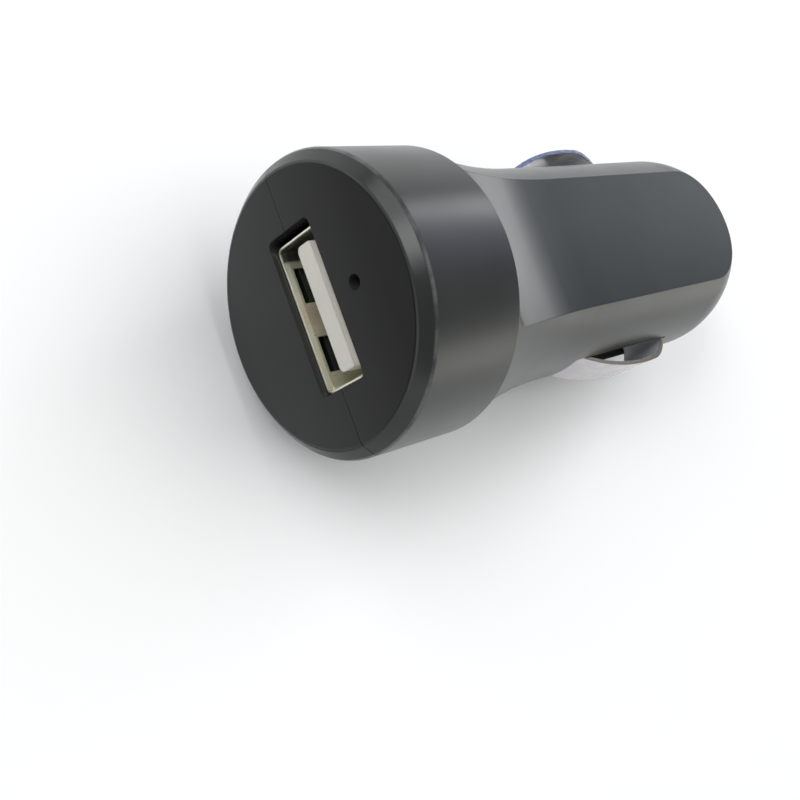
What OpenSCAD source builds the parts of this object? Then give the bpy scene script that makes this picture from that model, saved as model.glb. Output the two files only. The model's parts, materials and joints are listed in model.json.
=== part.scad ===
// Car USB charger plug, lying on its side with its label flat up.
// Each piece is drawn along its own axis: X runs from the face with the socket to the centre pin,
// Z points out of the upper flat. at_rest() then lays it down on its rim and the end of its lower flat.

/* [Head] */
// Diameter of the round head
head_d = 26.1; // [25:0.1:28]
// How much narrower the head gets up to its back edge, for draft
head_draft = 0.3; // [0:0.05:0.6]
// Length of the head, from the face to its back edge
head_len = 11.1; // [10:0.1:14]
// How much smaller the flat face is than the head, on the radius
bevel_r = 1.15; // [0.6:0.05:1.5]
// Length of the bevel round the face
bevel_len = 1.1; // [0.8:0.1:2]
// Broken edge on the rims of the head
edge = 0.15; // [0.05:0.01:0.3]
// Thickness of the face
face_wall = 1.6; // [1.2:0.1:2.2]

/* [Neck and body] */
// How far the neck starts below the rim of the head
neck_step = 0.4; // [0.2:0.05:0.8]
// Distance from the face to the end of the neck's curve
neck_end = 25.4; // [22:0.1:28]
// Diameter of the body behind the neck
body_d = 20.8; // [20.2:0.05:20.9]
// How much narrower the body gets up to its nose, for draft
body_draft = 0.2; // [0:0.05:0.6]
// Distance from the face to the start of the round nose
nose_start = 47.4; // [46.6:0.1:50]
// Radius of the nose's curve
nose_r = 9.6; // [9.2:0.1:9.8]
// How much of the nose's curve is cut off at its end
nose_cut = 0.1; // [0.05:0.05:0.5]
// Wall of the body
wall = 1.5; // [1.2:0.1:1.8]
// Gap of the parting line between the two halves
parting_gap = 0.06; // [0.02:0.01:0.12]

/* [Flats] */
// Distance from the axis to each flat
flat_d = 8.2; // [7.8:0.1:8.8]
// Radius of the long curve that runs the flat up to the neck
flat_run_r = 50; // [35:1:80]
// Radius of the short curve between the flat and the head
flat_fillet_r = 3; // [2:0.1:4]

/* [USB socket] */
// Outside width of the metal shell
usb_w = 13.14; // [13.1:0.02:13.3]
// Outside height of the metal shell
usb_h = 5.66; // [5.6:0.02:5.8]
// Sheet thickness of the shell
usb_t = 0.32; // [0.25:0.01:0.4]
// Length of the shell
usb_len = 13.9; // [13:0.1:15]
// How much of the sheet is left at the shell's mouth, where its inner edge is bevelled
usb_lip_t = 0.14; // [0.1:0.01:0.25]
// Depth of that bevel
usb_lip_len = 0.5; // [0.2:0.05:0.7]
// How far the shell sits behind the face
usb_recess = 0.65; // [0.4:0.05:1.2]
// Height of the socket's middle above the parting line
usb_rise = 0.25; // [0:0.05:0.6]
// Gap round the shell, at its sides
usb_side_gap = 0.43; // [0.2:0.01:0.6]
// How far the socket sits off the middle, as a share of that gap
usb_off_share = 0.6; // [0:0.05:0.8]
// Gap round the shell, above and below
usb_top_gap = 0.08; // [0.05:0.01:0.3]
// Gap between the tongue and the shell, at its sides
tongue_side_gap = 0.7; // [0.6:0.01:0.8]
// Thickness of the plastic tongue
tongue_t = 1.84; // [1.8:0.01:1.88]
// Gap between the tongue and the shell's upper wall
tongue_gap = 0.74; // [0.62:0.01:0.78]
// How far the tongue's tip sits behind the face
tongue_recess = 0.4; // [0.2:0.1:1.2]

/* [Indicator] */
// Diameter of the light hole in the face
led_hole_d = 1.3; // [1:0.1:2]
// Height of the light above the axis
led_rise = 5.85; // [5.6:0.05:6.4]
// Diameter of the lamp
led_d = 3; // [2.8:0.1:3.2]

/* [Centre pin] */
// Diameter of the pin
pin_d = 3.8; // [3.4:0.1:4.2]
// How far the pin stands out of the nose
pin_out = 5.5; // [4.5:0.1:7]
// Chamfer on the tip of the pin
pin_chamfer = 0.7; // [0.3:0.1:0.9]
// How far the pin is pushed in when it is used
pin_travel = 2.5; // [1.5:0.1:3]
// Radial gap between the pin's guide and its bore
pin_gap = 0.07; // [0.03:0.01:0.1]
// Radius of the pin's collar
collar_r = 3; // [2.8:0.1:3.2]
// Thickness of the pin's collar
collar_t = 1.25; // [1:0.05:1.6]
// Turns of the spring behind the pin
spring_turns = 6; // [4:1:8]
// Wire diameter of the spring
spring_wire = 0.5; // [0.4:0.05:0.6]

/* [Side contacts] */
// Distance from the axis to the top of each contact's bow
bow_top = 12; // [11.6:0.05:12.4]
// Distance from the face to the top of the bow
bow_x = 37.9; // [37:0.1:39]
// Radius of the bow's long ramp
bow_r = 24; // [21:0.5:26]
// Radius of the bow's steep end
bow_end_r = 2.95; // [2.4:0.05:3.2]
// Distance from the top of the bow to the middle of its steep end
bow_end_x = 1.6; // [1.2:0.1:2]
// Distance from the face to the start of the slot
slot_start = 26.9; // [26.6:0.1:27.6]
// Width of the strip
strip_w = 5; // [4:0.1:5.4]
// Thickness of the strip
strip_t = 0.4; // [0.3:0.05:0.5]
// How far each contact is pushed in when it is used
strip_travel = 1.6; // [1:0.1:1.7]
// Gap round the strip in its slot
strip_gap = 0.2; // [0.15:0.01:0.4]

/* [Circuit board] */
// Thickness of the board
board_t = 1; // [0.8:0.1:1.6]
// How far the board reaches past the socket, at its sides
board_margin = 0.83; // [0.75:0.01:1]

/* [Hidden] */
$fn = 96;

head_r = head_d / 2;
face_r = head_r - bevel_r;
head_back_r = head_r - head_draft / 2;
neck_r = head_back_r - neck_step;
body_r = body_d / 2;
body_end_r = body_r - body_draft / 2;
far = 200;

// The neck is one arc that ends level with the body
neck_rise = neck_r - body_r;
neck_run = neck_end - head_len;
neck_arc_r = (neck_run * neck_run + neck_rise * neck_rise) / (2 * neck_rise);
nose_axis_gap = body_end_r - nose_r;
nose_end = nose_start + nose_r - nose_cut;

// Where the short and the long curve of the flat meet
flat_start = neck_end - 0.8;
fillet_x = head_len + flat_fillet_r - 0.1;
fillet_drop = sqrt(pow(flat_run_r - flat_fillet_r, 2) - pow(flat_start - fillet_x, 2));
fillet_z = flat_d + flat_run_r - fillet_drop;
curve_meet_x = flat_start - (flat_start - fillet_x) * flat_run_r / (flat_run_r - flat_fillet_r);

// The plug rests on the head's rim and on the end of its lower flat
rim_x = head_len - edge;
flat_end_x = nose_start + sqrt(nose_r * nose_r - pow(flat_d - nose_axis_gap, 2));
rest_tilt = atan((head_back_r - flat_d) / (flat_end_x - rim_x));
pin_tip_x = nose_end + pin_out;
rest_height = rim_x * sin(rest_tilt) + head_back_r * cos(rest_tilt);
rest_front = -face_r * sin(rest_tilt);
rest_back = pin_tip_x * cos(rest_tilt) + (pin_d / 2 - pin_chamfer) * sin(rest_tilt);
rest_middle = (rest_front + rest_back) / 2;

// Socket
usb_x = usb_recess;
usb_off = usb_off_share * usb_side_gap;
usb_end = usb_x + usb_len;
usb_bottom = usb_rise - usb_h / 2;
usb_corner = 0.6;
usb_in_top = usb_rise + usb_h / 2 - usb_t;
tongue_w = usb_w - 2 * usb_t - 2 * tongue_side_gap;
tongue_top = usb_in_top - tongue_gap;
tongue_bottom = tongue_top - tongue_t;
tongue_low_r = 0.55;
tongue_high_r = 0.2;
usb_block_len = 5;
usb_pitch = 2.5;
usb_pitch_middle = 2;
usb_pins = [-usb_pitch_middle / 2 - usb_pitch, -usb_pitch_middle / 2,
    usb_pitch_middle / 2, usb_pitch_middle / 2 + usb_pitch];
usb_blade_t = 0.3;
usb_blade_w = 1;
usb_leg_w = 0.6;
usb_leg_x = usb_end + 0.3;
usb_tab_x = usb_end - 4.5;
usb_tab_len = 1.8;
window_w = 3.2;
window_y = 3.12;
window_start = usb_x + 0.75;
window_len = 4.6;

// Board
board_front_w = usb_w + 2 * board_margin;
board_top = usb_bottom;
board_bottom = board_top - board_t;
board_start = 2.2;
board_step = 17;
board_end = 45.8;
solder_out = 0.6;
board_clear = 0.13;
rib_t = 1.2;
rib_places = [12.4, 26.5, 42];
prong_w = 1;
prong_places = [17.4, 44];

// Pin chamber
pin_r = pin_d / 2;
guide_step = 0.3;
guide_r = pin_r + guide_step;
bore_r = guide_r + pin_gap;
nose_wall = 2.5;
chamber_end = nose_end - nose_wall;
chamber_r = collar_r + 0.2;
tube_r = chamber_r + 1.2;
terminal_t = 0.4;
terminal_w = 5.2;
terminal_foot = 2.6;
terminal_foot_w = 3;
terminal_x = board_end + 0.2;
tube_start = terminal_x + terminal_t + 0.1;
collar_gap = 0.05;
collar_x = chamber_end - collar_gap - collar_t;
tail_stop = 0.2;
tail_len = collar_x - terminal_x - terminal_t - pin_travel - tail_stop;
tail_r = 1.5;
mouth_r = guide_r + 0.4;
mouth_depth = 0.8;
spring_r = collar_r - spring_wire / 2 - 0.4;

// Side contacts
body_in_r = body_r - wall;
strip_seat = sqrt(pow(body_in_r - body_draft / 2, 2) - pow(strip_w / 2, 2)) - 0.05;
bow_y = bow_top - bow_r;
strip_foot_x = bow_x - sqrt(bow_r * bow_r - pow(strip_seat - bow_y, 2));
bow_turn = asin(bow_end_x / (bow_r - bow_end_r));
bow_end_y = bow_y + (bow_r - bow_end_r) * cos(bow_turn);
strip_leg_x = bow_x + bow_end_x + bow_end_r - strip_t;
strip_tab = 1.4;
slot_end = strip_leg_x + strip_t + strip_gap;
pocket_top = bow_y + sqrt(bow_r * bow_r - pow(bow_x - slot_start, 2)) + strip_gap / 2;
board_rear_w = 2 * (strip_seat - strip_t - strip_travel - board_clear);

// Bosses that line up the two halves
boss_r = 1.5;
peg_r = 0.7;
peg_h = 1.4;
peg_gap = 0.05;
boss_gap = 0.3;
front_boss_x = head_len / 2 + 1;
front_boss_y = board_front_w / 2 + boss_gap + boss_r;
rear_boss_x = neck_end - 3.3;
rear_boss_y = body_r - wall - boss_gap;
boss_places = [[front_boss_x, front_boss_y], [front_boss_x, -front_boss_y],
    [rear_boss_x, rear_boss_y], [rear_boss_x, -rear_boss_y]];

// Light
led_r = led_d / 2;
led_front = face_wall + 0.2;
led_len = 4.3;
led_flange_r = led_r + 0.3;
led_flange_t = 0.9;
led_pitch = 2.54;
led_wire = 0.5;
led_end = led_front + led_len + led_flange_t;
led_wire_x = usb_leg_x + 1.5;

// Parts on the board
cap_r = 3.15;
cap_len = 11;
cap_x = 18.8;
cap_y = -2.95;
out_cap_r = 2.5;
out_cap_x = 31;
out_cap_y = 3.25;
coil_x = 23;
coil_y = 3.3;
coil_r = 2.8;
coil_h = 5.6;
coil_flange = 0.9;
chip_x = 33.2;
chip_y = -3.3;
chip_len = 4.9;
chip_w = 3.9;
chip_h = 1.6;
chip_off = 0.15;
lead_pitch = 1.27;
lead_w = 0.4;
lead_t = 0.2;
lead_out = 0.9;
lead_rise = 0.7;
diode_x = 39.6;
diode_y = -3.3;
diode_len = 4.2;
diode_w = 2.6;
diode_h = 2.1;
small_len = 2;
small_w = 1.2;
resistor_h = 0.5;
ceramic_h = 1;
middle_row_y = 0.35;
side_row_x = 28.6;
middle_row_x = [31.5, 34.2, 37];
side_row_y = [2.8, 4.6];

module at_rest() {
    translate([-rest_middle, 0, rest_height])
        rotate([0, rest_tilt, 0])
            children();
}

// Turns a profile drawn as radius and distance from the face round the plug's axis
module turned() {
    rotate([0, 90, 0])
        rotate_extrude()
            children();
}

// Extrudes a section drawn as Y and Z along the plug, from x0 to x1
module along(x0, x1) {
    translate([x0, 0, 0])
        rotate([90, 0, 90])
            linear_extrude(height = x1 - x0)
                children();
}

// Extrudes a side view drawn as X and Z across the plug
module across(width) {
    rotate([90, 0, 0])
        linear_extrude(height = width, center = true)
            children();
}

module box(low, high) {
    translate(low)
        cube(high - low);
}

module round_box(w, h, r) {
    square([w - 2 * r, h], center = true);
    square([w, h - 2 * r], center = true);
    for (sx = [-1, 1], sy = [-1, 1])
        translate([sx * (w / 2 - r), sy * (h / 2 - r)])
            circle(r);
}

module quarter(r) {
    intersection() {
        circle(r);
        square(r);
    }
}

// Outside of the head: face, bevel and rims with their edges broken
module head_profile() {
    slope = edge * bevel_r / bevel_len;
    polygon([[0, 0], [face_r - edge, 0], [face_r + slope, edge], [head_r - slope, bevel_len - edge],
        [head_r, bevel_len + edge], [head_back_r, rim_x], [head_back_r - edge, head_len], [0, head_len]]);
}

module neck_profile(inset, from) {
    difference() {
        translate([0, from])
            square([neck_r - inset, neck_end - from]);
        translate([body_r + neck_arc_r, neck_end])
            circle(neck_arc_r + inset, $fn = 360);
    }
}

module body_profile(inset) {
    polygon([[0, neck_end - 0.01], [body_r - inset, neck_end - 0.01], [body_r - inset, neck_end],
        [body_end_r - inset, nose_start], [0, nose_start]]);
    translate([0, nose_start - 0.01])
        square([nose_axis_gap, nose_r - inset + 0.01]);
    translate([nose_axis_gap, nose_start])
        quarter(nose_r - inset);
}

// What lies outside both flats; inset gives the same curves inside the wall
module outside_flats(inset) {
    for (side = [0, 1])
        mirror([0, 0, side])
            across(4 * head_r) {
                translate([flat_start, flat_d - inset])
                    square([far, far]);
                intersection() {
                    translate([flat_start, flat_d + flat_run_r])
                        circle(flat_run_r + inset, $fn = 360);
                    translate([curve_meet_x, 0])
                        square([flat_start - curve_meet_x + 0.01, 2 * head_r]);
                }
                translate([fillet_x, fillet_z])
                    circle(flat_fillet_r + inset);
                translate([fillet_x - flat_fillet_r - inset, fillet_z])
                    square([flat_start - fillet_x + flat_fillet_r + inset, far]);
            }
}

module outside() {
    turned()
        head_profile();
    difference() {
        turned() {
            neck_profile(0, head_len - 0.5);
            body_profile(0);
        }
        difference() {
            outside_flats(0);
            box([-far, -far, -far], [head_len - 0.5, far, far]);
        }
        box([nose_end, -far, -far], [far, far, far]);
    }
}

// The hollow of the housing, with its bosses, board ribs and pin tube left standing
module hollow() {
    difference() {
        turned() {
            neck_profile(wall, face_wall);
            body_profile(wall);
        }
        outside_flats(wall);
        for (place = boss_places)
            translate([place[0], place[1], -head_r])
                cylinder(r = boss_r, h = head_d);
        for (x = rib_places)
            box([x, -head_r, -head_r], [x + rib_t, head_r, board_bottom]);
        translate([tube_start, 0, 0])
            rotate([0, 90, 0])
                cylinder(r = tube_r, h = nose_end - tube_start);
        translate([face_wall - 0.01, 0, led_rise])
            rotate([0, 90, 0])
                cylinder(r = led_r + 0.7, h = 2.4);
    }
}

// Everything that opens through the walls
module openings() {
    translate([0, 0, usb_rise])
        along(-1, face_wall + 1)
            round_box(usb_w + 2 * usb_side_gap, usb_h + 2 * usb_top_gap, usb_corner);
    translate([-1, 0, led_rise])
        rotate([0, 90, 0])
            cylinder(d = led_hole_d, h = face_wall + 2);
    translate([face_wall, 0, led_rise])
        rotate([0, 90, 0])
            cylinder(r = led_r + 0.05, h = 4);
    translate([tube_start - 1, 0, 0])
        rotate([0, 90, 0])
            cylinder(r = chamber_r, h = chamber_end - tube_start + 1);
    translate([chamber_end - 1, 0, 0])
        rotate([0, 90, 0])
            cylinder(r = bore_r, h = far);
    translate([nose_end - mouth_depth, 0, 0])
        rotate([0, 90, 0])
            cylinder(r = mouth_r, h = far);
    for (side = [0, 1])
        mirror([0, side, 0]) {
            box([slot_start, body_r / 2, -strip_w / 2 - strip_gap],
                [slot_end, head_r, strip_w / 2 + strip_gap]);
            box([strip_foot_x - strip_gap, body_r / 2, -strip_w / 2 - strip_gap],
                [slot_start + 0.1, pocket_top, strip_w / 2 + strip_gap]);
        }
}

// Prongs of the upper half that hold the board down
module board_prongs() {
    for (x = prong_places, side = [-1, 1])
        translate([x, side * (board_rear_w / 2 - 0.3 - prong_w / 2), board_top])
            box([-prong_w / 2, -prong_w / 2, 0], [prong_w / 2, prong_w / 2, flat_d - wall / 2 - board_top]);
}

module housing_upper() {
    color("#3b3d3d")
        at_rest() {
            difference() {
                intersection() {
                    outside();
                    box([-far, -far, parting_gap / 2], [far, far, far]);
                }
                hollow();
                openings();
                for (place = boss_places)
                    translate([place[0], place[1], 0])
                        cylinder(r = peg_r + peg_gap, h = peg_h + 0.2);
            }
            board_prongs();
        }
}

module housing_lower() {
    color("#3b3d3d")
        at_rest() {
            difference() {
                intersection() {
                    outside();
                    box([-far, -far, -far], [far, far, -parting_gap / 2]);
                }
                hollow();
                openings();
            }
            for (place = boss_places)
                translate([place[0], place[1], -1])
                    cylinder(r = peg_r, h = peg_h + 1);
        }
}

module centre_pin() {
    color("#c9c9c4")
        at_rest()
            turned()
                polygon([[0, collar_x - tail_len], [tail_r - 0.2, collar_x - tail_len],
                    [tail_r, collar_x - tail_len + 0.2], [tail_r, collar_x], [collar_r, collar_x],
                    [collar_r, collar_x + collar_t], [guide_r, collar_x + collar_t],
                    [guide_r, nose_end - 0.1], [pin_r, nose_end], [pin_r, pin_tip_x - pin_chamfer],
                    [pin_r - pin_chamfer, pin_tip_x], [0, pin_tip_x]]);
}

// Round wire along a helix, as one closed skin
module pin_spring() {
    low = terminal_x + terminal_t + spring_wire / 2 + 0.02;
    high = collar_x - spring_wire / 2 - 0.02;
    steps = 18 * spring_turns;
    sides = 6;
    points = [for (i = [0:steps])
        let (turn = 360 * spring_turns * i / steps, x = low + (high - low) * i / steps)
        for (k = [0:sides - 1])
            let (a = 360 * k / sides, r = spring_r + spring_wire / 2 * cos(a))
            [x + spring_wire / 2 * sin(a), r * cos(turn), r * sin(turn)]];
    skin = [for (i = [0:steps - 1], k = [0:sides - 1])
        let (a = i * sides + k, b = i * sides + (k + 1) % sides)
        [a, b, b + sides, a + sides]];
    first = [for (k = [0:sides - 1]) sides - 1 - k];
    last = [for (k = [0:sides - 1]) steps * sides + k];
    color("#b8b8b2")
        at_rest()
            polyhedron(points, concat([first, last], skin));
}

// Bent tab on the board that the spring pushes against
module pin_terminal() {
    color("#c8b26a")
        at_rest() {
            box([terminal_x, -terminal_w / 2, board_top], [terminal_x + terminal_t, terminal_w / 2, terminal_w / 2]);
            box([board_end - terminal_foot, -terminal_foot_w / 2, board_top],
                [terminal_x + terminal_t, terminal_foot_w / 2, board_top + terminal_t]);
        }
}

module bent(r) {
    difference() {
        circle(r, $fn = 360);
        circle(r - strip_t, $fn = 360);
    }
}

// Bowed strip: a tab under the wall, the long ramp through the slot, a steep end and a second tab
module side_strip() {
    ramp_end = bow_x + bow_end_x + 0.1;
    ramp_top = bow_top + 1;
    translate([0, 0, -strip_w / 2])
        linear_extrude(height = strip_w) {
            intersection() {
                translate([bow_x, bow_y])
                    bent(bow_r);
                polygon([[strip_foot_x - 1, strip_seat - strip_t], [bow_x, strip_seat - strip_t],
                    [ramp_end, bow_end_y], [ramp_end + (ramp_top - bow_end_y) * tan(bow_turn), ramp_top],
                    [strip_foot_x - 1, ramp_top]]);
            }
            translate([bow_x + bow_end_x, bow_end_y])
                intersection() {
                    bent(bow_end_r);
                    polygon([[0, 0], [bow_r * sin(bow_turn), bow_r * cos(bow_turn)], [bow_r, bow_r], [bow_r, 0]]);
                }
            translate([strip_foot_x - strip_tab, strip_seat - strip_t])
                square([strip_tab + strip_t, strip_t]);
            translate([strip_leg_x, strip_seat - strip_t])
                square([strip_t, bow_end_y - strip_seat + strip_t]);
            translate([strip_leg_x, strip_seat - strip_t])
                square([strip_tab + strip_t, strip_t]);
        }
}

module side_contact_left() {
    color("#d0cfc4")
        at_rest()
            side_strip();
}

module side_contact_right() {
    color("#d0cfc4")
        at_rest()
            mirror([0, 1, 0])
                side_strip();
}

// What the bevel round the shell's mouth takes away: it narrows both in height and in width
module shell_mouth() {
    intersection() {
        across(usb_w)
            mouth_wedge(usb_h);
        linear_extrude(height = usb_h, center = true)
            mouth_wedge(usb_w);
        along(usb_x - usb_t, usb_x + usb_lip_len)
            round_box(usb_w - 2 * usb_lip_t, usb_h - 2 * usb_lip_t, usb_corner - usb_lip_t);
    }
}

module mouth_wedge(size) {
    wide = size / 2 - usb_lip_t;
    narrow = size / 2 - usb_t;
    polygon([[usb_x - usb_t, wide], [usb_x, wide], [usb_x + usb_lip_len, narrow],
        [usb_x + usb_lip_len, -narrow], [usb_x, -wide], [usb_x - usb_t, -wide]]);
}

// Spring leaf in one window of the shell, free at its front end
module shell_leaf() {
    leaf_end = window_start + window_len;
    across(window_w - 0.8)
        polygon([[leaf_end, 0], [leaf_end, usb_t], [window_start + 2, usb_t + 0.45],
            [window_start + 1.6, usb_t + 0.35], [window_start + 1.6, usb_t + 0.1],
            [window_start + 2, usb_t + 0.18], [leaf_end - 0.3, 0]]);
}

// The socket's pieces share one place
module in_socket() {
    at_rest()
        translate([0, -usb_off, 0])
            children();
}

module usb_shell() {
    color("#b9b8a8")
        in_socket() {
            translate([0, 0, usb_rise]) {
                difference() {
                    along(usb_x, usb_end)
                        difference() {
                            round_box(usb_w, usb_h, usb_corner);
                            round_box(usb_w - 2 * usb_t, usb_h - 2 * usb_t, usb_corner - usb_t + 0.1);
                        }
                    shell_mouth();
                    for (side = [-1, 1])
                        translate([window_start, side * window_y - window_w / 2, -usb_h])
                            cube([window_len, window_w, 2 * usb_h]);
                }
                for (side = [-1, 1], top = [0, 1])
                    mirror([0, 0, top])
                        translate([0, side * window_y, -usb_h / 2])
                            shell_leaf();
            }
            for (side = [-1, 1])
                translate([usb_tab_x, side * (usb_w - usb_t) / 2, board_bottom - solder_out])
                    box([0, -usb_t / 2, 0], [usb_tab_len, usb_t / 2, usb_rise - board_bottom + solder_out]);
        }
}

// One socket contact, drawn at the middle of its blade
module socket_blade(front) {
    blade_bottom = tongue_bottom - usb_blade_t / 2;
    box([front, -usb_blade_w / 2, blade_bottom],
        [usb_leg_x + usb_blade_t, usb_blade_w / 2, blade_bottom + usb_blade_t]);
    box([usb_leg_x, -usb_leg_w / 2, board_bottom - solder_out],
        [usb_leg_x + usb_blade_t, usb_leg_w / 2, blade_bottom + usb_blade_t]);
}

// The outer, power contacts reach further forward than the two data contacts
function blade_front(i) = tongue_recess + (i == 0 || i == 3 ? 1.6 : 2.6);

// Section of the tongue, with its lower edges rounder than its upper ones
module tongue_section() {
    low_w = tongue_w - 2 * tongue_low_r;
    high_w = tongue_w - 2 * tongue_high_r;
    for (side = [-1, 1]) {
        translate([side * low_w / 2, tongue_low_r - tongue_t / 2])
            circle(tongue_low_r);
        translate([side * high_w / 2, tongue_t / 2 - tongue_high_r])
            circle(tongue_high_r);
    }
    square([low_w, tongue_t], center = true);
    translate([-high_w / 2, 0])
        square([high_w, tongue_t / 2]);
    translate([-tongue_w / 2, tongue_low_r - tongue_t / 2])
        square([tongue_w, tongue_t - tongue_low_r - tongue_high_r]);
}

module usb_insulator() {
    color("#e4e2da")
        in_socket()
            difference() {
                union() {
                    translate([0, 0, (tongue_top + tongue_bottom) / 2])
                        along(tongue_recess, usb_end - 1)
                            tongue_section();
                    translate([0, 0, usb_rise])
                        along(usb_end - usb_block_len, usb_end)
                            round_box(usb_w - 2 * usb_t, usb_h - 2 * usb_t, usb_corner - usb_t + 0.1);
                }
                for (i = [0:3])
                    translate([0, usb_pins[i], 0])
                        socket_blade(blade_front(i));
            }
}

module usb_contact(i) {
    color("#d9b860")
        in_socket()
            translate([0, usb_pins[i], 0])
                socket_blade(blade_front(i));
}

module usb_contact_1() { usb_contact(0); }
module usb_contact_2() { usb_contact(1); }
module usb_contact_3() { usb_contact(2); }
module usb_contact_4() { usb_contact(3); }

module circuit_board() {
    color("#14201a")
        at_rest()
            difference() {
                union() {
                    box([board_start, -board_front_w / 2, board_bottom],
                        [board_step, board_front_w / 2, board_top]);
                    box([board_step - 1, -board_rear_w / 2, board_bottom],
                        [board_end, board_rear_w / 2, board_top]);
                }
                for (y = usb_pins)
                    translate([usb_leg_x + usb_blade_t / 2, y - usb_off, board_bottom - 1])
                        cylinder(r = 0.5, h = board_t + 2);
                for (side = [-1, 1])
                    translate([led_wire_x, side * led_pitch / 2, board_bottom - 1])
                        cylinder(r = 0.4, h = board_t + 2);
                for (side = [-1, 1])
                    translate([usb_tab_x, side * (usb_w - usb_t) / 2 - usb_off, board_bottom - 1])
                        box([-0.2, -0.3, 0], [usb_tab_len + 0.2, 0.3, board_t + 2]);
            }
}

module led_lens() {
    color("#c9d6d8", 0.7)
        at_rest()
            translate([0, 0, led_rise])
                turned() {
                    translate([0, led_front + led_r])
                        square([led_r, led_len - led_r]);
                    translate([0, led_front + led_r])
                        intersection() {
                            circle(led_r);
                            translate([0, -led_r])
                                square([led_r, led_r + 0.5]);
                        }
                    translate([0, led_front + led_len])
                        square([led_flange_r, led_flange_t]);
                }
}

module led_leads() {
    color("#c4c4c0")
        at_rest()
            for (side = [-1, 1])
                translate([0, side * led_pitch / 2, 0]) {
                    box([led_end, -led_wire / 2, led_rise - led_wire / 2],
                        [led_wire_x + led_wire / 2, led_wire / 2, led_rise + led_wire / 2]);
                    box([led_wire_x - led_wire / 2, -led_wire / 2, board_bottom - solder_out],
                        [led_wire_x + led_wire / 2, led_wire / 2, led_rise + led_wire / 2]);
                }
}

// Can with a rolled groove near its leads, lying on the board
module can(r, len) {
    turned()
        polygon([[0, 0], [r, 0], [r, 1.2], [r - 0.25, 1.5], [r, 1.8], [r, len - 0.3],
            [r - 0.3, len], [r - 1, len], [r - 1.1, len - 0.15], [0, len - 0.15]]);
}

module input_capacitor() {
    color("#20304a")
        at_rest()
            translate([cap_x, cap_y, board_top + cap_r])
                can(cap_r, cap_len);
}

module output_capacitor() {
    color("#20304a")
        at_rest()
            translate([out_cap_x, out_cap_y, board_top + out_cap_r])
                can(out_cap_r, cap_len);
}

module inductor_core() {
    color("#4a4a4e")
        at_rest()
            translate([coil_x, coil_y, board_top]) {
                cylinder(r = coil_r, h = coil_flange);
                cylinder(r = coil_r / 2, h = coil_h);
                translate([0, 0, coil_h - coil_flange])
                    cylinder(r = coil_r, h = coil_flange);
            }
}

module inductor_winding() {
    color("#b06a34")
        at_rest()
            translate([coil_x, coil_y, board_top + coil_flange])
                difference() {
                    cylinder(r = coil_r - 0.3, h = coil_h - 2 * coil_flange);
                    translate([0, 0, -1])
                        cylinder(r = coil_r / 2, h = coil_h);
                }
}

module converter_chip() {
    color("#26272a")
        at_rest()
            translate([chip_x, chip_y, board_top])
                box([-chip_len / 2, -chip_w / 2, chip_off], [chip_len / 2, chip_w / 2, chip_h]);
}

module chip_leads() {
    color("#c4c4c0")
        at_rest()
            translate([chip_x, chip_y, board_top])
                for (i = [-1.5:1:1.5], side = [0, 1])
                    mirror([0, side, 0])
                        translate([i * lead_pitch - lead_w / 2, chip_w / 2, 0]) {
                            box([0, 0, lead_rise], [lead_w, lead_out / 3, lead_rise + lead_t]);
                            box([0, lead_out / 3, 0], [lead_w, lead_out / 3 + lead_t, lead_rise + lead_t]);
                            box([0, lead_out / 3, 0], [lead_w, lead_out, lead_t]);
                        }
}

module catch_diode() {
    color("#2a2a2c")
        at_rest()
            translate([diode_x, diode_y, board_top])
                box([-diode_len / 2, -diode_w / 2, 0], [diode_len / 2, diode_w / 2, diode_h]);
}

module chip_part(x, y, h, shade) {
    color(shade)
        at_rest()
            translate([x, y, board_top])
                box([-small_len / 2, -small_w / 2, 0], [small_len / 2, small_w / 2, h]);
}

module resistor_1() { chip_part(middle_row_x[0], middle_row_y, resistor_h, "#1d1d20"); }
module resistor_2() { chip_part(middle_row_x[1], middle_row_y, resistor_h, "#1d1d20"); }
module resistor_3() { chip_part(side_row_x, side_row_y[1], resistor_h, "#1d1d20"); }
module ceramic_capacitor_1() { chip_part(middle_row_x[2], middle_row_y, ceramic_h, "#a58a62"); }
module ceramic_capacitor_2() { chip_part(side_row_x, side_row_y[0], ceramic_h, "#a58a62"); }

housing_upper();
housing_lower();
centre_pin();
pin_spring();
pin_terminal();
side_contact_left();
side_contact_right();
usb_shell();
usb_insulator();
usb_contact_1();
usb_contact_2();
usb_contact_3();
usb_contact_4();
circuit_board();
led_lens();
led_leads();
input_capacitor();
output_capacitor();
inductor_core();
inductor_winding();
converter_chip();
chip_leads();
catch_diode();
resistor_1();
resistor_2();
resistor_3();
ceramic_capacitor_1();
ceramic_capacitor_2();
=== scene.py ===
"""Car USB charger plug: looks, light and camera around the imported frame."""
import json
import math

import bpy
from mathutils import Matrix, Vector


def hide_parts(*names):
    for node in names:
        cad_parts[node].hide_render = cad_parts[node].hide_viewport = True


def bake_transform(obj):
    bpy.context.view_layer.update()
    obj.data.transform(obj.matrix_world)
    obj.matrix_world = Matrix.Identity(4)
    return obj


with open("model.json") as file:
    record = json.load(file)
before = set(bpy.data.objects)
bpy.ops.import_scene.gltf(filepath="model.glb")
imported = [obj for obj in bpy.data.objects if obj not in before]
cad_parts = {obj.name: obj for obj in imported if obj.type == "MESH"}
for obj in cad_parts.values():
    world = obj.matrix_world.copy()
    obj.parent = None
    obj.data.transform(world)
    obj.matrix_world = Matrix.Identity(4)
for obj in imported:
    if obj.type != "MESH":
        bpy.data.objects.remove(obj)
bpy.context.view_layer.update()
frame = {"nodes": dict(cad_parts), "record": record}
nodes = frame["nodes"]
MM = 0.001

# How the plug lies: its own axis dips towards the pin, by TILT, in the resting frame
TILT = math.radians(6.3191)
REST_MIDDLE = 30.4216
REST_HEIGHT = 14.0268
COS_T, SIN_T = math.cos(TILT), math.sin(TILT)

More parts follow.
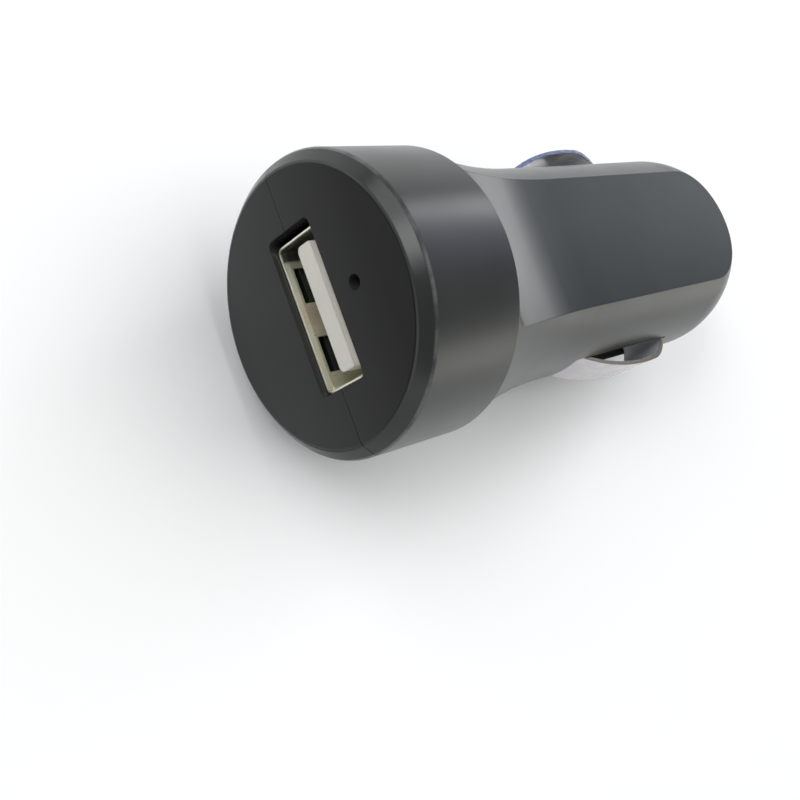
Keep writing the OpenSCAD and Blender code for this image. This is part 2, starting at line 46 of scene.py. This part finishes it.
# The photograph's viewpoint, in the plug's own frame: a place in millimetres and two directions
CAMERA_PLACE = (-57.45, -18.88, 67.31)
CAMERA_RIGHT = (0.70951, -0.34233, 0.61597)
CAMERA_UP = (0.18328, 0.93364, 0.30777)
CAMERA_LENS = 49.18
CAMERA_SENSOR = 36
CAMERA_NEAR = 0.005

# Places on the plug in millimetres: X from the face along the axis, Y across, Z out of the upper flat
FACE_END_X = 0.06
BEVEL_END_X = 1.16
RIM_EDGE_X = 1.12
# How far the painted highlight along the rim's edge reaches
RIM_HIGHLIGHT_REACH = (0.07, 0.20)
OPENINGS_REACH = 8
FLAT_LEAST_Z = 8.17
FLAT_LEAST_SLOPE = 0.05
NECK_END_X = (18.2, 21.6)
CUT_EDGE_Z = (2.40, 2.49)
STEEP_END_X = (37.0, 40.5)
SHELL_RIM_X = (0.66, 0.78)
SHELL_BEHIND_RIM_X = (0.68, 0.85)
SHELL_DARK_REFLECTION_Y = (4.95, 5.2)
SHELL_BROWN_Y = 0.2
SHELL_BROWN_REACH = (0.3, 1.6)
TONGUE_FRONT_X = (0.42, 0.62)

# Sizes of the spring behind the pin, as in the part's source, in millimetres
SPRING_R = 2.35
SPRING_WIRE = 0.5
SPRING_TURNS = 6

# Colours as linear red, green and blue. A pair is the darkest and the lightest of a cloudy surface
SATIN = (0.026, 0.027, 0.027), (0.030, 0.031, 0.030)
MATT_FLAT = (0.0065, 0.0108, 0.0128), (0.0095, 0.0144, 0.0166)
# The face's two colours are painted reflection: the first for its lower edge, lighter, the second for its
# upper edge, darker
MATT_FACE_PAINTED_LIGHT_LOW = (0.0152, 0.0152, 0.0148), (0.0182, 0.0182, 0.0178)
MATT_FACE_PAINTED_SHADE_HIGH = (0.0045, 0.0045, 0.0043)
OPENING_WALLS = (0.045, 0.045, 0.042)
# A pale line painted along the bevel's outer edge, as a painted highlight
RIM_PAINTED_HIGHLIGHT = (0.115, 0.12, 0.115)
STRIP_PLATE = (0.54, 0.53, 0.51), (0.68, 0.66, 0.63)
STRIP_LILAC = (0.56, 0.52, 0.60)
# The cut edges' blue is a painted reflection of a blue sky
STRIP_BLUE_PAINTED_REFLECTION = (0.16, 0.19, 0.31), (0.27, 0.28, 0.31)
STRIP_OLIVE = (0.36, 0.31, 0.21)
# Painted light: a pale, diffuse coat that lightens the steep ends, which stand in shade
STRIP_PAINTED_LIGHT = (0.93, 0.93, 0.97)
SHELL_PLATE = (0.66, 0.66, 0.50), (0.74, 0.70, 0.55)
SHELL_BROWN = (0.70, 0.58, 0.46)
# A painted dark reflection at the shell's end towards +Y
SHELL_PAINTED_DARK_REFLECTION = (0.075, 0.075, 0.06)
# The pale lip at the shell's mouth is a painted highlight
SHELL_RIM_PAINTED_HIGHLIGHT = (0.86, 0.84, 0.72)
# Painted light: a darker copy of the off-white for the tongue's lit front, a lighter one for its shaded sides
# and back
TONGUE_FRONT_PAINTED_DARKER = (0.60, 0.585, 0.52), (0.65, 0.63, 0.565)
TONGUE_SIDES_PAINTED_LIGHTER = (0.90, 0.89, 0.83), (0.93, 0.92, 0.87)
FLOOR = (0.90, 0.90, 0.90), (0.93, 0.93, 0.93)
WORLD_LIGHT = (0.84, 0.92, 1.0)
WHITE = (1.0, 1.0, 1.0)

# The plastic's sheen: one level on the round sides, and elsewhere from one place to another, with both levels
SHEEN_SIDES = 0.43
SHEEN_FLAT_Y = (-7.5, 2, 0.25, 0.34)
SHEEN_BEVEL_Z = (-4, 8, 0.12, 0.40)
SHEEN_FACE_Z = (-9, 9, 0.42, 0.19)
# Across this span in Z the face's colour goes from the lighter to the darker, as painted reflection
FACE_PAINTED_REFLECTION_Z = (-9, 9)

# Noise keeps near 0.5, so its middle part is what is spread over a full range
CLOUDY = (0.3, 0.7)


def axis_point(x, y, z):
    """A point of the plug, given along its own axis in millimetres, in the resting frame in metres."""
    return Vector((x * COS_T + z * SIN_T - REST_MIDDLE, y, -x * SIN_T + z * COS_T + REST_HEIGHT)) * MM


def axis_dir(x, y, z):
    """A direction given along the plug's own axis, in the resting frame."""
    return Vector((x * COS_T + z * SIN_T, y, -x * SIN_T + z * COS_T))


def add_object(name, data):
    """Links a new object into the scene."""
    obj = bpy.data.objects.new(name, data)
    bpy.context.scene.collection.objects.link(obj)
    return obj


def add_camera():
    """Puts the camera at the photograph's viewpoint."""
    data = bpy.data.cameras.new("camera")
    data.sensor_width = CAMERA_SENSOR
    data.lens = CAMERA_LENS
    data.clip_start = CAMERA_NEAR
    camera = add_object("camera", data)
    right = axis_dir(*CAMERA_RIGHT).normalized()
    back = right.cross(axis_dir(*CAMERA_UP)).normalized()
    up = back.cross(right).normalized()
    turn = Matrix((right, up, back)).transposed().to_4x4()
    camera.matrix_world = Matrix.Translation(axis_point(*CAMERA_PLACE)) @ turn
    bpy.context.scene.camera = camera
    bpy.context.scene.view_settings.view_transform = "Standard"


class Tree:
    """Short calls for building the nodes of one material, or of the world."""

    def __init__(self, owner, shader="Principled BSDF"):
        self.owner = owner
        owner.use_nodes = True
        self.nt = owner.node_tree
        self.shader = self.nt.nodes[shader]

    def add(self, kind, **values):
        """Adds a node and sets its properties."""
        node = self.nt.nodes.new(kind)
        for key, value in values.items():
            setattr(node, key, value)
        return node

    def plug(self, value, socket):
        """Links an output to a socket, or sets the socket to a constant."""
        if isinstance(value, bpy.types.NodeSocket):
            self.nt.links.new(value, socket)
        else:
            socket.default_value = value

    def set(self, **values):
        """Gives the shader's inputs their values; an underscore stands for a space in an input's name."""
        for key, value in values.items():
            self.plug(value, self.shader.inputs[key.replace("_", " ")])

    def math(self, operation, a, b=0.0, clamp=False):
        node = self.add("ShaderNodeMath", operation=operation, use_clamp=clamp)
        self.plug(a, node.inputs[0])
        self.plug(b, node.inputs[1])
        return node.outputs[0]

    def both(self, a, b):
        """1 where both masks are 1."""
        return self.math("MULTIPLY", a, b)

    def absolute(self, value):
        """A number without its sign."""
        return self.math("ABSOLUTE", value)

    def mix(self, factor, a, b):
        """Blends two colours."""
        node = self.add("ShaderNodeMix", data_type="RGBA")
        self.plug(factor, node.inputs["Factor"])
        for value, socket in ((a, node.inputs["A"]), (b, node.inputs["B"])):
            self.plug(value if isinstance(value, bpy.types.NodeSocket) else (*value, 1.0), socket)
        return node.outputs["Result"]

    def blend(self, factor, a, b):
        """Blends two numbers."""
        node = self.add("ShaderNodeMix", data_type="FLOAT")
        self.plug(factor, node.inputs["Factor"])
        self.plug(a, node.inputs["A"])
        self.plug(b, node.inputs["B"])
        return node.outputs["Result"]

    def ramp(self, value, low, high, out_low=0.0, out_high=1.0):
        """Maps low to high onto out_low to out_high, and holds the value at both ends."""
        node = self.add("ShaderNodeMapRange")
        self.plug(value, node.inputs["Value"])
        for key, number in (("From Min", low), ("From Max", high), ("To Min", out_low), ("To Max", out_high)):
            self.plug(number, node.inputs[key])
        return node.outputs["Result"]

    def split(self, vector):
        """The three parts of a vector."""
        node = self.add("ShaderNodeSeparateXYZ")
        self.plug(vector, node.inputs[0])
        return node.outputs

    def coords(self):
        """The plug's own coordinates in millimetres: X along its axis, Z out of the upper flat."""
        source = self.add("ShaderNodeTexCoord").outputs["Object"]
        node = self.add("ShaderNodeMapping", vector_type="POINT")
        self.plug(source, node.inputs["Vector"])
        node.inputs["Scale"].default_value = (1 / MM, 1 / MM, 1 / MM)
        node.inputs["Rotation"].default_value = (0, -TILT, 0)
        node.inputs["Location"].default_value = (
            REST_MIDDLE * COS_T + REST_HEIGHT * SIN_T, 0, REST_MIDDLE * SIN_T - REST_HEIGHT * COS_T)
        return node.outputs["Vector"]

    def noise(self, vector, scale, detail=3.0, stretch=None):
        """Noise whose scale is in features per millimetre."""
        if stretch:
            node = self.add("ShaderNodeMapping", vector_type="POINT")
            self.plug(vector, node.inputs["Vector"])
            node.inputs["Scale"].default_value = stretch
            vector = node.outputs["Vector"]
        node = self.add("ShaderNodeTexNoise")
        self.plug(vector, node.inputs["Vector"])
        node.inputs["Scale"].default_value = scale
        node.inputs["Detail"].default_value = detail
        return node.outputs["Fac"]

    def cloudy(self, noise, low=0.0, high=1.0):
        """Spreads a noise over the range from low to high."""
        return self.ramp(noise, *CLOUDY, low, high)

    def bump(self, height, depth_mm, strength=1.0, normal=None):
        """A normal raised by a height; one that is given is bumped further."""
        node = self.add("ShaderNodeBump")
        self.plug(height, node.inputs["Height"])
        self.plug(strength, node.inputs["Strength"])
        node.inputs["Distance"].default_value = depth_mm * MM
        if normal is not None:
            self.plug(normal, node.inputs["Normal"])
        return node.outputs["Normal"]

    def round_edges(self, radius_mm):
        """A normal that rounds the edges off in shading."""
        node = self.add("ShaderNodeBevel", samples=6)
        node.inputs["Radius"].default_value = radius_mm * MM
        return node.outputs["Normal"]

    def seen(self):
        """1 for the rays that show the background: straight to the camera, mirrored or through glass."""
        ray = self.add("ShaderNodeLightPath").outputs
        mirrored = self.math("ADD", ray["Is Glossy Ray"], ray["Is Transmission Ray"])
        return self.math("ADD", ray["Is Camera Ray"], mirrored, clamp=True)


def new_material(name):
    return Tree(bpy.data.materials.new(name))


def housing_material():
    """Charcoal moulding: satin on the round sides, a finer matt texture on the face and the flats. The face's
    colour holds a painted reflection, lighter towards its lower edge, and a painted highlight runs as a pale
    line along the bevel's outer edge.
    """
    t = new_material("housing_plastic")
    p = t.coords()
    x, y, z = t.split(p)

    # Masks: the face, the flats behind the neck, the bevelled rim, and the walls of the face's openings
    face = t.math("LESS_THAN", x, FACE_END_X)
    true_normal = t.split(t.add("ShaderNodeNewGeometry").outputs["True Normal"])
    level = t.math("LESS_THAN", t.absolute(true_normal[1]), FLAT_LEAST_SLOPE)
    high = t.math("GREATER_THAN", t.absolute(z), FLAT_LEAST_Z)
    flat = t.both(t.both(level, high), t.ramp(x, *NECK_END_X))
    matt = t.math("MAXIMUM", face, flat)
    front = t.both(t.math("LESS_THAN", x, BEVEL_END_X), t.math("SUBTRACT", 1.0, face))
    from_middle = t.math("MAXIMUM", t.absolute(y), t.absolute(z))
    openings = t.both(front, t.math("LESS_THAN", from_middle, OPENINGS_REACH))
    # A painted highlight: a pale line, in patches, along the edge between the bevel and the round side, away
    # from the openings
    edge = t.ramp(t.absolute(t.math("SUBTRACT", x, RIM_EDGE_X)), *RIM_HIGHLIGHT_REACH, 1, 0)
    highlight_patches = t.ramp(t.noise(p, 0.45), 0.38, 0.58, 0.25, 1)
    rim_highlight = t.both(t.both(edge, highlight_patches), t.math("GREATER_THAN", from_middle, OPENINGS_REACH))

    cloud = t.noise(p, 0.16, 4)
    grain = t.noise(p, 9, 2)
    fine = t.noise(p, 24, 2)
    shade = t.cloudy(cloud)
    satin = t.mix(openings, t.mix(shade, *SATIN), OPENING_WALLS)
    # Painted reflection on the face: lighter towards its lower edge, darker towards its upper one
    matt_face_painted_reflection = t.mix(t.ramp(z, *FACE_PAINTED_REFLECTION_Z), t.mix(shade, *MATT_FACE_PAINTED_LIGHT_LOW), MATT_FACE_PAINTED_SHADE_HIGH)
    matt_colour = t.mix(face, t.mix(shade, *MATT_FLAT), matt_face_painted_reflection)
    satin_rough = t.math("SUBTRACT", t.ramp(cloud, 0.25, 0.75, 0.27, 0.33), t.math("MULTIPLY", front, 0.08))

    sheen = t.blend(flat, SHEEN_SIDES, t.ramp(y, *SHEEN_FLAT_Y))
    sheen = t.blend(front, sheen, t.ramp(z, *SHEEN_BEVEL_Z))
    sheen = t.blend(face, sheen, t.ramp(z, *SHEEN_FACE_Z))

    surface = t.bump(grain, 0.004, 0.25, t.round_edges(0.12))
    t.set(Base_Color=t.mix(rim_highlight, t.mix(matt, satin, matt_colour), RIM_PAINTED_HIGHLIGHT),
          Roughness=t.blend(matt, satin_rough, t.cloudy(grain, 0.42, 0.50)),
          Specular_IOR_Level=sheen,
          IOR=1.5,
          Normal=t.bump(fine, 0.004, t.blend(matt, 0.1, 0.5), surface))
    return t.owner


def metal(name, dark, light, rough, streak, stretch):
    """Plated or drawn metal with fine marks along one way."""
    t = new_material(name)
    p = t.coords()
    marks = t.noise(p, streak, 3, stretch)
    t.set(Base_Color=t.mix(t.cloudy(t.noise(p, 0.35)), dark, light),
          Roughness=t.cloudy(marks, rough * 0.75, rough * 1.3),
          Metallic=1.0,
          Normal=t.bump(marks, 0.004, 0.25, t.round_edges(0.06)))
    return t.owner


def moulded(name, dark, light, rough, bump_mm=0.006, scale=6, **sockets):
    """Plain mouldings, coatings and fired bodies."""
    t = new_material(name)
    p = t.coords()
    grain = t.noise(p, scale)
    t.set(Base_Color=t.mix(t.cloudy(t.noise(p, 0.3)), dark, light),
          Roughness=t.cloudy(grain, rough * 0.85, rough * 1.15),
          Normal=t.bump(grain, bump_mm, 0.3, t.round_edges(0.06)),
          **sockets)
    return t.owner


def contact_material():
    """Nickel strips, with painted light at their steep ends to lighten their shade; the cut edges of one
    strip carry a painted blue reflection, and those of the other are olive.
    """
    t = new_material("contact_nickel")
    p = t.coords()
    x, y, z = t.split(p)
    marks = t.noise(p, 5, 3, (0.2, 4, 4))
    cut_edge = t.ramp(t.absolute(z), *CUT_EDGE_Z)
    # Painted light at the steep ends: pale, rough and not metallic, to lighten their shade
    painted_light_end = t.both(t.ramp(x, *STEEP_END_X), t.math("SUBTRACT", 1.0, cut_edge))

    plate = t.mix(t.cloudy(t.noise(p, 0.35)), *STRIP_PLATE)
    plate = t.mix(t.ramp(t.noise(p, 0.8, 2), 0.4, 0.7), plate, STRIP_LILAC)
    plate = t.mix(painted_light_end, plate, STRIP_PAINTED_LIGHT)
    # Cut edges: a painted blue reflection on the strip at +Y, and olive on the other
    edge = t.mix(t.ramp(t.noise(p, 1.1, 2), 0.40, 0.60), *STRIP_BLUE_PAINTED_REFLECTION)
    edge = t.mix(t.math("GREATER_THAN", y, 0), STRIP_OLIVE, edge)
    t.set(Base_Color=t.mix(cut_edge, plate, edge),
          Roughness=t.blend(painted_light_end, t.cloudy(marks, 0.12, 0.20), 0.45),
          Metallic=t.blend(cut_edge, t.blend(painted_light_end, 0.35, 0.0), 0.8),
          Normal=t.bump(marks, 0.004, 0.25, t.round_edges(0.06)))
    return t.owner


def shell_material():
    """Tin plate of the socket's shell: olive inside, with a painted highlight as a pale lip at its mouth, and
    a painted dark reflection at one end.
    """
    t = new_material("socket_nickel")
    p = t.coords()
    x, y, z = t.split(p)
    marks = t.noise(p, 4, 2, (0.3, 3, 3))
    rim = t.ramp(x, *SHELL_RIM_X, 1, 0)
    middle = t.ramp(t.absolute(t.math("SUBTRACT", y, SHELL_BROWN_Y)), *SHELL_BROWN_REACH, 0.7, 0)
    # Painted dark reflection at the shell's end towards +Y, behind its rim
    end = t.both(t.ramp(y, *SHELL_DARK_REFLECTION_Y), t.ramp(x, *SHELL_BEHIND_RIM_X))

    plate = t.mix(t.ramp(t.noise(p, 0.3, 2), 0.35, 0.65), *SHELL_PLATE)
    plate = t.mix(middle, plate, SHELL_BROWN)
    plate = t.mix(end, plate, SHELL_PAINTED_DARK_REFLECTION)
    # The pale lip at the mouth is a painted highlight
    t.set(Base_Color=t.mix(rim, plate, SHELL_RIM_PAINTED_HIGHLIGHT),
          Metallic=t.blend(rim, 0.55, 0.9),
          Roughness=t.cloudy(marks, 0.27, 0.36),
          Normal=t.bump(marks, 0.001, 0.1, t.round_edges(0.05)))
    return t.owner


def tongue_material():
    """Off-white moulding of the socket, with painted light: its sides and back, in the shade of the shell,
    are painted lighter than its front.
    """
    t = new_material("socket_plastic")
    p = t.coords()
    cloud = t.cloudy(t.noise(p, 0.3))
    grain = t.noise(p, 6)
    front = t.ramp(t.split(p)[0], *TONGUE_FRONT_X, 1, 0)
    # Painted light: the front takes the darker copy, the shaded sides and back the lighter one
    t.set(Base_Color=t.mix(front, t.mix(cloud, *TONGUE_SIDES_PAINTED_LIGHTER), t.mix(cloud, *TONGUE_FRONT_PAINTED_DARKER)),
          Roughness=t.cloudy(grain, 0.36, 0.48),
          Subsurface_Weight=0.3,
          Subsurface_Scale=1.2 * MM,
          Subsurface_Radius=(1.0, 0.9, 0.7),
          Normal=t.bump(grain, 0.006, 0.3, t.round_edges(0.22)))
    return t.owner


def coil(name, radius, wire, turns):
    """A wire wound round the plug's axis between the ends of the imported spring, and those two ends."""
    places = [v.co / MM for v in nodes["pin_spring"].data.vertices]
    along = [(v.x + REST_MIDDLE) * COS_T - (v.z - REST_HEIGHT) * SIN_T for v in places]
    low, high = min(along), max(along)
    steps, sides = 28 * turns, 12
    points = []
    for i in range(steps + 1):
        turn = math.tau * turns * i / steps
        x = low + wire / 2 + (high - low - wire) * i / steps
        for k in range(sides):
            side = math.tau * k / sides
            r = radius + wire / 2 * math.cos(side)
            points.append(axis_point(x + wire / 2 * math.sin(side), r * math.cos(turn), r * math.sin(turn)))
    ends = [tuple(range(sides)), tuple(reversed(range(steps * sides, (steps + 1) * sides)))]
    faces = list(ends)
    for i in range(steps):
        for k in range(sides):
            here, beside = i * sides + k, i * sides + (k + 1) % sides
            faces.append((here, here + sides, beside + sides, beside))
    mesh = bpy.data.meshes.new(name)
    mesh.from_pydata(points, [], faces)
    for face in mesh.polygons:
        face.use_smooth = face.index >= len(ends)
    return add_object(name, mesh), axis_point(low, 0, 0), axis_point(high, 0, 0)


def add_floor(reach):
    """A white floor: it glows a little more with distance, but only where it is seen or mirrored."""
    mesh = bpy.data.meshes.new("floor")
    corners = [(-reach, -reach, 0), (reach, -reach, 0), (reach, reach, 0), (-reach, reach, 0)]
    mesh.from_pydata(corners, [], [(0, 1, 2, 3)])
    floor = add_object("floor", mesh)
    t = new_material("floor")
    p = t.coords()
    away = t.add("ShaderNodeVectorMath", operation="LENGTH")
    t.plug(p, away.inputs[0])
    glow = t.ramp(away.outputs["Value"], 250, 800, 0.05, 0.6)
    t.set(Base_Color=t.mix(t.noise(p, 0.01, 2), *FLOOR),
          Roughness=0.9,
          Specular_IOR_Level=0.1,
          Emission_Color=(*WHITE, 1.0),
          Emission_Strength=t.math("MULTIPLY", t.seen(), glow))
    mesh.materials.append(t.owner)


def add_world(strength, backdrop_top):
    """A low level of light, and a white backdrop just above the horizon where it is seen or mirrored."""
    world = bpy.data.worlds.new("world")
    bpy.context.scene.world = world
    t = Tree(world, "Background")
    height = t.split(t.add("ShaderNodeTexCoord").outputs["Generated"])[2]
    backdrop = t.both(t.seen(), t.ramp(height, *backdrop_top, 1, 0))
    t.set(Color=t.mix(backdrop, WORLD_LIGHT, WHITE),
          Strength=t.blend(backdrop, strength, 1.0))


def softbox(name, azimuth, elevation, size, radiance, colour=WHITE, distance=0.5, turn=0.0, glossy=True):
    """A rectangular lamp that faces the plug from a direction in degrees; lengths are in metres."""
    az, el = math.radians(azimuth), math.radians(elevation)
    back = Vector((math.cos(el) * math.cos(az), math.cos(el) * math.sin(az), math.sin(el)))
    width, height = size
    data = bpy.data.lights.new(name, "AREA")
    data.shape = "RECTANGLE"
    data.size = width
    data.size_y = height
    data.energy = radiance * math.pi * width * height
    data.color = colour
    lamp = add_object(name, data)
    right = Vector((0, 0, 1)).cross(back).normalized()
    spin = Matrix.Rotation(math.radians(turn), 3, back)
    basis = Matrix((spin @ right, spin @ back.cross(right), back)).transposed()
    aim = Vector((0, 0, 12 * MM))
    lamp.matrix_world = Matrix.Translation(back * distance + aim) @ basis.to_4x4()
    lamp.visible_glossy = glossy


add_camera()

# The record's material slots
MATERIALS = {
    "housing": housing_material(),
    "pin": metal("pin_nickel", (0.62, 0.61, 0.58), (0.72, 0.71, 0.68), 0.22, 8, (6, 0.4, 0.4)),
    "spring_steel": metal("spring_wire", (0.50, 0.50, 0.49), (0.60, 0.60, 0.58), 0.3, 6, None),
    "brass": metal("plated_brass", (0.72, 0.56, 0.24), (0.80, 0.64, 0.30), 0.25, 8, (0.3, 3, 3)),
    "contact_strip": contact_material(),
    "socket_shell": shell_material(),
    "socket_plastic": tongue_material(),
    "board": moulded("board_resist", (0.006, 0.010, 0.008), (0.010, 0.016, 0.012), 0.35, 0.01, 2),
    "lamp": moulded("lamp_epoxy", (0.80, 0.85, 0.87), (0.86, 0.90, 0.92), 0.08, 0.002, 2,
                    Transmission_Weight=0.9),
    "tin": metal("tinned_wire", (0.58, 0.58, 0.57), (0.70, 0.70, 0.69), 0.3, 8, None),
    "can": moulded("can_sleeve", (0.010, 0.018, 0.045), (0.014, 0.024, 0.056), 0.3, 0.004, 4),
    "ferrite": moulded("ferrite", (0.045, 0.045, 0.05), (0.07, 0.07, 0.075), 0.6, 0.02, 5),
    "winding": metal("enamelled_wire", (0.42, 0.16, 0.06), (0.52, 0.22, 0.09), 0.3, 3, (0.1, 0.1, 6)),
    "chip": moulded("chip_body", (0.012, 0.012, 0.014), (0.02, 0.02, 0.022), 0.55, 0.008, 8),
    "ceramic": moulded("fired_ceramic", (0.34, 0.25, 0.14), (0.42, 0.31, 0.18), 0.5, 0.01, 6),
}
for part in frame["record"]["subparts"]:
    slots = nodes[part["node"]].data.materials
    slots.clear()
    slots.append(MATERIALS[part["material_slot"]])

# The spring between its terminal, on the shell, and the collar of the pin: a coil built in place of the
# imported one, which is hidden
spring, spring_low, spring_high = coil("spring_coil", SPRING_R, SPRING_WIRE, SPRING_TURNS)
spring.data.materials.append(MATERIALS["spring_steel"])
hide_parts("pin_spring")
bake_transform(spring)

# Surroundings and light
add_floor(reach=3.0)
add_world(strength=0.20, backdrop_top=(0.20, 0.27))
softbox("window_behind", 22, 18.5, (0.30, 0.105), 5.0, (0.98, 0.99, 1.0), turn=27)
softbox("sky", 22, 35, (0.32, 0.13), 0.75, (0.42, 0.55, 1.0))
softbox("key", 138, 40, (0.50, 0.32), 2.25)
softbox("key_core", 153, 48, (0.17, 0.12), 3.2)
softbox("side_card", -40, 6, (0.40, 0.24), 1.35, (1.0, 0.99, 0.86), distance=0.6)
softbox("fill", 0, 60, (3.2, 3.2), 1.75, (1.0, 0.985, 0.96), distance=2.4, glossy=False)
